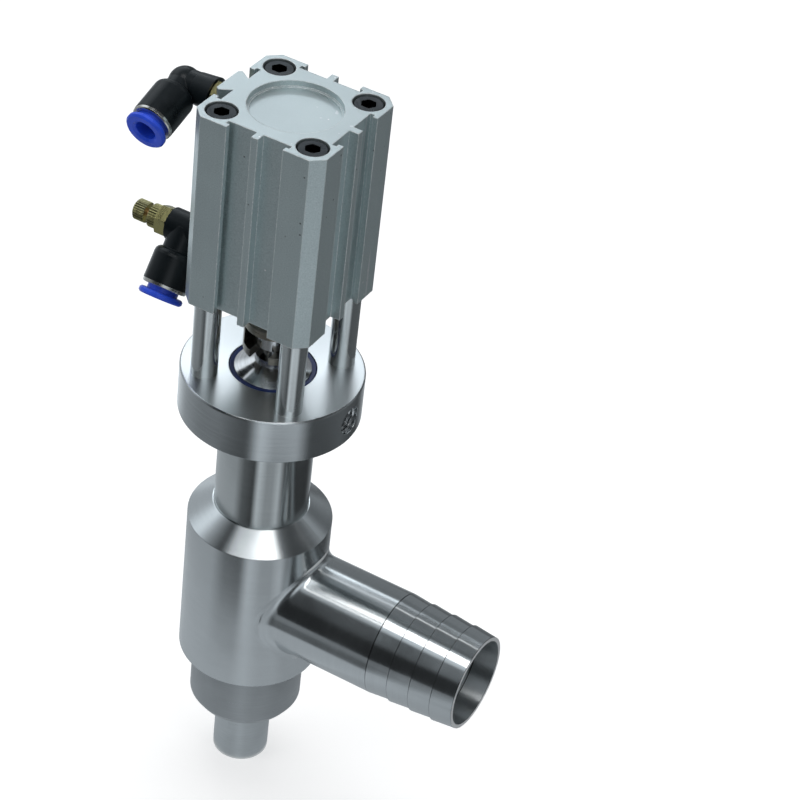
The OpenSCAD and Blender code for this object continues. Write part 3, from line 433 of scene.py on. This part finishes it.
def turned_metal(name, colour, rough, axis="Z", centre=(0, 0, 0), lines=1400.0, depth=0.35,
                 aniso=0.0, stain=0.15, edge_wear_and_highlight=0.5, round_edge=0.25, painted_seam_shade=None, bore=None, faced=None):
    """Metal with fine rings round an axis, faint clouds in its polish, and worn edges with a painted
    highlight.

    Lines is the scale of the rings' noise: the higher it is, the finer the rings are.
    Painted seam shade is the first place, the pitch and the half width of painted dark lines in the corners
    along the axis.
    Bore is the radius of a hole on the axis that kept its coarse grooves, and the roughness there.
    Faced is the roughness of the faces that were turned square to the axis; those that look up also get a
    lighter colour as painted light.
    """
    look = bpy.data.materials.new(name)
    look.use_nodes = True
    graph = Graph(look.node_tree)
    radius, angle, along = axis_place(graph, axis, centre)
    turn = graph.math("MULTIPLY", angle, RING_DRIFT)
    rings = graph.add("CombineXYZ", {0: radius, 1: turn, 2: along}).outputs[0]
    fine = noise(graph, rings, lines, 2.0)
    coarse = noise(graph, rings, lines * COARSE_RINGS, 3.0)
    place = graph.add("TexCoord").outputs["Object"]
    cloud = noise(graph, place, POLISH_CLOUDS, 4.0)
    edge, soft = edge_mask(graph, round_edge * MM)
    tool = graph.math("ADD", graph.math("MULTIPLY", fine, 0.6), graph.math("MULTIPLY", coarse, 0.4))
    dark, light = shaded(colour, 1.0 - stain), shaded(colour, 1.0 + stain * 0.6)
    tone = graph.blend(graph.remap(tool, 0.3, 0.7), dark, light)
    clouded = graph.math("MULTIPLY", graph.remap(cloud, 0.45, 0.75), stain)
    tone = graph.blend(clouded, tone, CLOUD_TONE)
    # Edges are lighter: worn, and a painted highlight.
    tone = graph.blend(graph.math("MULTIPLY", edge, edge_wear_and_highlight * 0.5), tone, EDGE_WEAR_AND_HIGHLIGHT_TONE)
    metallic = 1.0
    shine = graph.remap(cloud, 0.3, 0.7, rough * 0.8, rough * 1.25)
    shine = graph.math("ADD", shine, graph.remap(tool, 0.35, 0.65, -0.15 * depth, 0.25 * depth), clamp=True)
    if faced:
        square = square_ends(graph, axis)
        shine = graph.math("MAXIMUM", shine, graph.math("MULTIPLY", square, faced))
        # Painted light: faces that look up the axis are lighter.
        tone = graph.blend(square, tone, TOP_FACE_PAINTED_LIGHT)
    if bore:
        bore_radius, bore_rough = bore
        inside = graph.remap(radius, bore_radius + 0.25 * MM, bore_radius + 0.15 * MM)
        shine = graph.math("MAXIMUM", shine, graph.math("MULTIPLY", inside, bore_rough))
    if painted_seam_shade:
        first, pitch, half = painted_seam_shade
        past = graph.math("SUBTRACT", along, first)
        # Painted shade: dark lines where the barbs meet, stronger on the upper side than below.
        near = graph.remap(graph.math("PINGPONG", past, pitch / 2), half, half * 0.3)
        near = graph.math("MULTIPLY", near, graph.math("GREATER_THAN", past, -half))
        near = graph.math("MULTIPLY", near, graph.remap(graph.facing("Z"), -0.2, 0.3, 0.30, 0.95))
        tone = graph.blend(near, tone, SEAM_PAINTED_SHADE)
        cut_end = square_ends(graph, axis)
        shine = graph.math("MAXIMUM", shine, graph.math("MULTIPLY", cut_end, 0.5))
        tone = graph.blend(cut_end, tone, CUT_END)
        metallic = graph.remap(cut_end, 0.0, 1.0, 1.0, 0.35)
    bump = graph.add("Bump", {"Strength": depth, "Distance": GROOVE_HEIGHT, "Height": tool,
                              "Normal": soft})
    settings = {"Base Color": tone, "Metallic": metallic, "Roughness": shine, "Normal": bump.outputs[0]}
    if aniso:
        settings["Anisotropic"] = aniso
        settings["Anisotropic Rotation"] = 0.25
        settings["Tangent"] = graph.add("Tangent", direction_type="RADIAL", axis=axis).outputs[0]
    shader = graph.add("BsdfPrincipled", settings)
    graph.add("OutputMaterial", {"Surface": shader.outputs[0]})
    return look


print("turned metal ready")

# %% [markdown]
# The stainless pieces differ in their last tool more than in their steel. The neck tube and the
# pipe are polished, the body and the flange are turned fine, and the sleeve and the tip are
# brushed. Each could have a tree of its own, but one function with other numbers keeps them alike.

# %% Stainless steel
PIPE_CENTRE = (0.0, 0.0, 68.8 * MM)
PIPE_BORE_R = 13.2 * MM
FIRST_SEAM, BARB_PITCH, SEAM_SHADE_HALF = 48.4 * MM, 7.0 * MM, 0.21 * MM
satin_steel = turned_metal("satin_turned_steel", (0.60, 0.63, 0.64), 0.26, lines=2600, aniso=0.35)
body_steel = turned_metal("body_turned_steel", (0.62, 0.65, 0.66), 0.20, lines=4600,
                          depth=0.05, stain=0.04, aniso=0.75)
flange_steel = turned_metal("flange_turned_steel", (0.57, 0.60, 0.61), 0.17, lines=5200,
                            depth=0.10, stain=0.06, aniso=0.6, round_edge=0.40, faced=0.29)
tube_steel = turned_metal("polished_tube_steel", (0.61, 0.64, 0.64), 0.13, lines=4000,
                          depth=0.05, stain=0.05, aniso=0.8)
pipe_steel = turned_metal("polished_pipe_steel", (0.60, 0.63, 0.64), 0.20, axis="X",
                          centre=PIPE_CENTRE, lines=3600, depth=0.02, stain=0.04, round_edge=0.30,
                          aniso=0.96, painted_seam_shade=(FIRST_SEAM, BARB_PITCH, SEAM_SHADE_HALF), bore=(PIPE_BORE_R, 0.38))
weld_steel = turned_metal("dressed_weld_steel", (0.58, 0.61, 0.62), 0.20, lines=900,
                          depth=0.05, stain=0.08)
sleeve_steel = turned_metal("brushed_sleeve_steel", (0.43, 0.45, 0.46), 0.33, lines=3000,
                            depth=0.22, stain=0.10, aniso=0.7)
tip_steel = turned_metal("brushed_tip_steel", (0.57, 0.60, 0.61), 0.34, lines=3000,
                         depth=0.22, stain=0.10, aniso=0.5)
bright_steel = turned_metal("bright_stem_steel", (0.66, 0.67, 0.68), 0.14, lines=2400,
                            depth=0.25, aniso=0.5)
print("stainless finishes made")

# %% [markdown]
# The other metals are ground chrome on the piston rod, nickel on the rings of the tube sockets,
# spring steel, dull brass, a coppery needle, the dark coupling and black screws. Most of them are
# round pieces, so the same function makes them. A plated piece has a low roughness and faint rings.

# %% Other metals
PORT_CENTRE = (0.0, 0.0, 181.7 * MM)
chromed = turned_metal("ground_chrome", (0.70, 0.72, 0.73), 0.08, lines=2600, depth=0.1, stain=0.05)
nickel = turned_metal("nickel_plate", (0.60, 0.59, 0.56), 0.20, lines=2400, depth=0.2, round_edge=0.12)
spring = turned_metal("spring_steel", (0.55, 0.55, 0.55), 0.25, round_edge=0.1)
port_brass = turned_metal("turned_brass", (0.50, 0.46, 0.20), 0.28, axis="X", centre=PORT_CENTRE,
                          lines=1500, depth=0.3, stain=0.28, edge_wear_and_highlight=0.35, round_edge=0.15)
copper = turned_metal("copper_spindle", (0.95, 0.58, 0.36), 0.30, axis="X", centre=PORT_CENTRE,
                      lines=2600, depth=0.5, round_edge=0.1)
coupling_steel = turned_metal("dull_coupling_steel", (0.26, 0.24, 0.20), 0.34, lines=1500,
                              depth=0.5, stain=0.3)
screw_black = turned_metal("black_oxide", (0.016, 0.020, 0.023), 0.26, lines=1500,
                           depth=0.25, edge_wear_and_highlight=0.22, round_edge=0.2)
print("other metals made")

# %% [markdown]
# The barrel is an extrusion that was blasted a little, anodised, and then milled at its ends. Its
# sides carry faint lines along the length, a fine grain, dark pits, a few scratches, and white
# specks that are painted glints. A photograph of real aluminium could be laid on, but noises in the
# object's own space need no unwrapping. Faces that look up are lighter, for their milling and as
# painted light from above. The slots' edges carry a painted highlight, white and less metallic,
# which one more noise breaks into dashes.


# %% Anodised aluminium
# Scales of the noises: the higher one is, the finer is its pattern.
DRAWN_LINES = 900.0
BLASTED_GRAIN = 2600.0
TONE_CLOUDS = 34.0
SPECKS = 250.0
SCRATCHES = 420.0
EDGE_DASHES = 1100.0
BLAST_HEIGHT = 0.03 * MM


def anodised_look(name, colour, milled_and_painted_lit_top, rough):
    look = bpy.data.materials.new(name)
    look.use_nodes = True
    graph = Graph(look.node_tree)
    place = graph.add("TexCoord").outputs["Object"]
    drawn = graph.add("Mapping", {"Vector": place, "Scale": (1.0, 1.0, 0.02)}).outputs[0]
    lines = noise(graph, drawn, DRAWN_LINES, 3.0)
    grain = noise(graph, place, BLASTED_GRAIN, 2.0)
    cloud = noise(graph, place, TONE_CLOUDS, 3.0)
    speck = graph.add("TexVoronoi", {"Vector": place, "Scale": SPECKS, "Randomness": 1.0})
    dot = graph.remap(speck.outputs["Distance"], 0.085, 0.045)
    chance = graph.add("SeparateColor", {0: speck.outputs["Color"]}).outputs[0]
    pit = graph.math("MULTIPLY", dot, graph.math("GREATER_THAN", chance, 0.88))
    # Painted glints: white specks.
    painted_glint = graph.math("MULTIPLY", dot, graph.math("LESS_THAN", chance, 0.26))
    slanted = graph.add("Mapping", {"Vector": place, "Rotation": (0.35, 0.6, 0.2),
                                    "Scale": (1.0, 1.0, 0.045)}).outputs[0]
    scratch = graph.remap(noise(graph, slanted, SCRATCHES, 1.0), 0.735, 0.76)
    edge, soft = edge_mask(graph, 0.42 * MM)
    # Breaks the painted edge highlight into dashes.
    broken = graph.remap(noise(graph, place, EDGE_DASHES, 1.0), 0.40, 0.58, 0.25, 1.0)
    edge = graph.math("MULTIPLY", edge, broken)
    tone = graph.blend(graph.remap(lines, 0.3, 0.7), shaded(colour, 0.985), shaded(colour, 1.015))
    bright_grain = graph.math("MULTIPLY", graph.remap(grain, 0.55, 0.70), 0.45)
    dark_grain = graph.math("MULTIPLY", graph.remap(grain, 0.45, 0.32), 0.30)
    layers = [
        (bright_grain, rgb(0.80, 0.84, 0.86)),
        (dark_grain, rgb(0.28, 0.31, 0.33)),
        # Faces that look up: lighter for their milling, and painted light from above.
        (square_ends(graph, "Z"), rgb(*milled_and_painted_lit_top)),
        (graph.math("MULTIPLY", graph.remap(cloud, 0.4, 0.7), 0.16), rgb(0.34, 0.37, 0.39)),
        (graph.math("MULTIPLY", pit, 0.8), rgb(0.05, 0.05, 0.05)),
        (graph.math("MULTIPLY", scratch, 0.6), rgb(0.85, 0.87, 0.89)),
        # Painted glints: white specks.
        (painted_glint, rgb(1.0, 1.0, 1.0)),
        # Painted highlight: white along the edges.
        (edge, rgb(1.0, 1.0, 1.0)),
    ]
    for mask, layer_colour in layers:
        tone = graph.blend(mask, tone, layer_colour)
    shine = graph.remap(grain, 0.3, 0.7, rough - 0.06, rough + 0.08)
    height = graph.math("ADD", graph.math("MULTIPLY", grain, 0.9), graph.math("MULTIPLY", lines, 0.03))
    height = graph.math("SUBTRACT", height, pit)
    bump = graph.add("Bump", {"Strength": 0.35, "Distance": BLAST_HEIGHT, "Height": height,
                              "Normal": soft})
    # Painted highlight: the edges are white and less metallic.
    painted_edge_metallic = graph.remap(edge, 0.0, 1.0, 0.85, 0.15)
    shader = graph.add("BsdfPrincipled", {"Base Color": tone, "Metallic": painted_edge_metallic, "Roughness": shine,
                                          "Normal": bump.outputs[0]})
    graph.add("OutputMaterial", {"Surface": shader.outputs[0]})
    return look


anodised = anodised_look("anodised_aluminium", (0.55, 0.635, 0.64), (0.60, 0.675, 0.685), 0.40)
print("anodised finish made")

# %% [markdown]
# The fittings are moulded. Their skin is smooth with a fine texture. A clear coat over the colour
# would give a sharper shine, but a lower specular level alone matches the dull black nylon better.


# %% Plastics and rubber
MOULD_GRAIN = 3200.0
MOULD_CLOUDS = 160.0
GRAIN_HEIGHT = 0.02 * MM


def moulded_look(name, colour, rough, specular=0.5, grain_depth=0.25):
    look = bpy.data.materials.new(name)
    look.use_nodes = True
    graph = Graph(look.node_tree)
    place = graph.add("TexCoord").outputs["Object"]
    grain = noise(graph, place, MOULD_GRAIN, 2.0)
    cloud = noise(graph, place, MOULD_CLOUDS, 3.0)
    edge, soft = edge_mask(graph, 0.2 * MM)
    tone = graph.blend(graph.remap(cloud, 0.3, 0.7), shaded(colour, 0.85), shaded(colour, 1.12))
    worn = rgb(*(min(1.0, c * 1.3 + 0.012) for c in colour))
    tone = graph.blend(graph.math("MULTIPLY", edge, 0.45), tone, worn)
    shine = graph.remap(cloud, 0.3, 0.7, rough - 0.05, rough + 0.07)
    bump = graph.add("Bump", {"Strength": grain_depth, "Distance": GRAIN_HEIGHT, "Height": grain,
                              "Normal": soft})
    shader = graph.add("BsdfPrincipled", {"Base Color": tone, "Roughness": shine, "Normal": bump.outputs[0],
                                          "Specular IOR Level": specular})
    graph.add("OutputMaterial", {"Surface": shader.outputs[0]})
    return look


black_plastic = moulded_look("black_moulding", (0.005, 0.008, 0.010), 0.31, specular=0.28)
blue_plastic = moulded_look("blue_moulding", (0.020, 0.075, 0.66), 0.30, specular=0.4)
seal_rubber = moulded_look("seal_rubber", (0.022, 0.022, 0.023), 0.55, grain_depth=0.5)
wiper_blue = moulded_look("dark_blue_seal", (0.015, 0.035, 0.16), 0.38)
magnet_look = moulded_look("bonded_magnet", (0.030, 0.030, 0.032), 0.6)
print("plastics made")

# %% [markdown]
# ## Dressing the CAD nodes
# Each CAD node keeps its mesh and takes a finish. A list of nodes and looks is easier to read,
# and to change, than a line of code for each.

# %% Finishes of the CAD nodes
LOOKS = {
    satin_steel: ["tip_clamp_ring", "rod_gland", "piston_nut", "gland_circlip"],
    body_steel: ["valve_body"],
    weld_steel: ["inlet_weld"],
    flange_steel: ["mounting_flange"],
    tube_steel: ["neck_tube", "pillars"],
    pipe_steel: ["inlet_hose_tail"],
    sleeve_steel: ["nozzle_sleeve"],
    tip_steel: ["nozzle_tip", "stem_plug"],
    bright_steel: ["valve_stem"],
    coupling_steel: ["stem_coupling"],
    chromed: ["piston_rod"],
    nickel: ["upper_socket_ring", "lower_socket_ring"],
    spring: ["upper_grip_ring", "lower_grip_ring"],
    port_brass: ["upper_port_stem", "lower_port_stem", "needle_bonnet", "lock_ring", "needle_knob",
                 "rod_bush"],
    copper: ["needle_spindle"],
    screw_black: ["barrel_screws"],
    anodised: ["cylinder_barrel", "rear_cap", "piston"],
    black_plastic: ["upper_elbow", "lower_banjo"],
    blue_plastic: ["upper_release_collar", "lower_release_collar"],
    wiper_blue: ["guide_wiper", "plug_oring"],
    magnet_look: ["piston_magnet"],
    seal_rubber: ["tip_gasket", "sleeve_oring", "rear_cap_oring", "gland_oring", "rod_seal", "guide_orings",
                  "piston_seal", "piston_bumpers", "upper_port_gasket", "upper_swivel_oring",
                  "upper_tube_seal", "lower_port_gasket", "lower_banjo_orings", "lower_tube_seal"],
}
dressed = set()
for look, names in LOOKS.items():
    for name in names:
        mesh = node_objects[name].data
        mesh.materials.clear()
        mesh.materials.append(look)
        dressed.add(name)
print("dressed:", len(dressed), "missing:", sorted(set(node_objects) - dressed))

# %% [markdown]
# ## The dressed weld
# On the real valve the branch is welded on, and the bead is ground and polished to a hollow, so
# that product doesn't stay in the corner. The CAD bead is plain. A bevel on the joined tubes could
# make the hollow, but a small section swept round the seam keeps even faces and leaves both tubes
# as they are. At each step round the pipe the section follows the body's round wall.


# %% Mesh helpers
def finish_mesh(mesh, look, angle=35.0):
    """Faces outward, smooth shading with sharp edges kept, and one finish."""
    work = bmesh.new()
    work.from_mesh(mesh)
    bmesh.ops.remove_doubles(work, verts=work.verts, dist=1e-7)
    bmesh.ops.recalc_face_normals(work, faces=work.faces)
    work.to_mesh(mesh)
    work.free()
    mesh.shade_smooth()
    mesh.set_sharp_from_angle(angle=math.radians(angle))
    mesh.materials.clear()
    mesh.materials.append(look)


def swept_ring(name, sections, look):
    """A closed ring from closed sections of equal length."""
    count, rows = len(sections), len(sections[0])
    points = [p for section in sections for p in section]
    faces = []
    for i in range(count):
        j = (i + 1) % count
        for k in range(rows):
            m = (k + 1) % rows
            faces.append((i * rows + k, i * rows + m, j * rows + m, j * rows + k))
    mesh = bpy.data.meshes.new(name)
    mesh.from_pydata(points, [], faces)
    finish_mesh(mesh, look)
    return new_object(name, mesh)


print("mesh helpers ready")

# %% Section of the weld
body_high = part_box("valve_body")[1]
tail_low, tail_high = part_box("inlet_hose_tail")
BODY_R = body_high.y + 0.02 * MM
PIPE_R = (tail_high.y - tail_low.y) / 2 + 0.004 * MM
PIPE_Z = (tail_high.z + tail_low.z) / 2
ROOT_R = PIPE_R - 0.43 * MM
ROOT_END = 23.43 * MM
SLEEVE_END = 27.5 * MM
SUNK = 0.9 * MM
LINING_SINK = 0.05 * MM
WALL_SINK = 0.08 * MM
LEAST_RUN = 0.02 * MM
LEG_PIPE = 2.3 * MM
LEG_BODY = 2.1 * MM
HOLLOW_STEPS = 10
WALL_STEPS = 6


def weld_section(turn):
    """Points of the weld's section at one turn round the pipe, as X and distance from its axis."""
    def wall(s):
        return math.sqrt(BODY_R ** 2 - (s * math.sin(turn)) ** 2)
    corner = wall(PIPE_R)
    start = (corner + LEG_PIPE, PIPE_R)
    end = (wall(PIPE_R + LEG_BODY), PIPE_R + LEG_BODY)
    section = [(ROOT_END, ROOT_R), (SLEEVE_END, PIPE_R - LINING_SINK),
               (max(ROOT_END, start[0] + LEAST_RUN), PIPE_R)]
    for i in range(HOLLOW_STEPS + 1):
        t = i / HOLLOW_STEPS
        bend = (1 - t) ** 2, 2 * t * (1 - t), t ** 2
        section.append(tuple(bend[0] * a + bend[1] * b + bend[2] * c
                             for a, b, c in zip(start, (corner, PIPE_R), end)))
    for i in range(WALL_STEPS + 1):
        s = end[1] + SUNK + (ROOT_R - end[1] - SUNK) * i / WALL_STEPS
        section.append((wall(s) - WALL_SINK, s))
    return [(x, s * math.sin(turn), PIPE_Z + s * math.cos(turn)) for x, s in section]


print("pipe radius:", round(PIPE_R / MM, 2), "mm, body radius:", round(BODY_R / MM, 2), "mm")

# %% Dressed weld
WELD_STEPS = 240
weld_turns = [2 * math.pi * i / WELD_STEPS for i in range(WELD_STEPS)]
weld = swept_ring("dressed_weld", [weld_section(turn) for turn in weld_turns], pipe_steel)
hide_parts("inlet_weld")
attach(weld, "valve_frame")
print("dressed weld:", len(weld.data.polygons), "faces")

# %% [markdown]
# ## The thread in the flange
# The side hole in the flange is tapped. A thread is one ridge that repeats along a helix, so it is
# made with Geometry Nodes: a spiral, a small four-sided profile, and a sweep of one along the
# other. A screw modifier could do it too, but the node tree keeps radius, pitch and turns as
# named inputs. The ridge is sunk into the wall of the hole by half its height.


# %% Node tree of the thread
def thread_tree(name):
    """A node tree that sweeps a small diamond along a spiral."""
    tree = bpy.data.node_groups.new(name, "GeometryNodeTree")
    for label in ("Radius", "Length", "Turns", "Ridge"):
        tree.interface.new_socket(label, in_out="INPUT", socket_type="NodeSocketFloat")
    tree.interface.new_socket("Finish", in_out="INPUT", socket_type="NodeSocketMaterial")
    tree.interface.new_socket("Geometry", in_out="OUTPUT", socket_type="NodeSocketGeometry")
    given = tree.nodes.new("NodeGroupInput")
    result = tree.nodes.new("NodeGroupOutput")
    spiral = tree.nodes.new("GeometryNodeCurveSpiral")
    spiral.inputs["Resolution"].default_value = 48
    upright = tree.nodes.new("GeometryNodeSetCurveNormal")
    upright.mode = "Z_UP"
    profile = tree.nodes.new("GeometryNodeCurvePrimitiveCircle")
    profile.inputs["Resolution"].default_value = 4
    sweep = tree.nodes.new("GeometryNodeCurveToMesh")
    sweep.inputs["Fill Caps"].default_value = True
    whole = tree.nodes.new("GeometryNodeRealizeInstances")
    paint = tree.nodes.new("GeometryNodeSetMaterial")
    join = tree.links.new
    join(given.outputs["Radius"], spiral.inputs["Start Radius"])
    join(given.outputs["Radius"], spiral.inputs["End Radius"])
    join(given.outputs["Length"], spiral.inputs["Height"])
    join(given.outputs["Turns"], spiral.inputs["Rotations"])
    join(given.outputs["Ridge"], profile.inputs["Radius"])
    join(spiral.outputs["Curve"], upright.inputs["Curve"])
    join(upright.outputs["Curve"], sweep.inputs["Curve"])
    join(profile.outputs["Curve"], sweep.inputs["Profile Curve"])
    join(sweep.outputs["Mesh"], whole.inputs["Geometry"])
    join(whole.outputs["Geometry"], paint.inputs["Geometry"])
    join(given.outputs["Finish"], paint.inputs["Material"])
    join(paint.outputs["Geometry"], result.inputs["Geometry"])
    return tree


print("thread tree ready")


# %% Thread in the side hole
def grown(name, tree, values):
    """The plain mesh that a node tree makes from its named inputs."""
    seed_object = new_object(name + "_seed", bpy.data.meshes.new(name + "_seed"))
    modifier = seed_object.modifiers.new("grow", "NODES")
    modifier.node_group = tree
    for item in tree.interface.items_tree:
        if item.in_out == "INPUT" and item.name in values:
            modifier[item.identifier] = values[item.name]
    grown_object = seed_object.evaluated_get(bpy.context.evaluated_depsgraph_get())
    mesh = bpy.data.meshes.new_from_object(grown_object)
    mesh.name = name
    bpy.data.objects.remove(seed_object)
    return mesh


flange_low, flange_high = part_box("mounting_flange")
hole_z = (flange_low.z + flange_high.z) / 2
THREAD_START = 18.6 * MM
THREAD_SIZES = {"Radius": 4.22 * MM, "Length": 6.4 * MM, "Turns": 5.1, "Ridge": 0.40 * MM}
thread = grown("side_hole_thread", thread_tree("thread_ridge"), {**THREAD_SIZES, "Finish": bright_steel})
lie_down = Matrix.Rotation(math.radians(90), 4, "Y")
thread.transform(Matrix.Translation((THREAD_START, 0.0, hole_z)) @ lie_down)
finish_mesh(thread, bright_steel, 20.0)
thread_piece = new_object("side_hole_thread", thread)
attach(thread_piece, "valve_frame")
print("thread:", len(thread.polygons), "faces")

# %% [markdown]
# ## View transform
# The view transform stays plain, so that a colour renders as it is written.

# %% Finish
bpy.context.scene.view_settings.view_transform = "Standard"
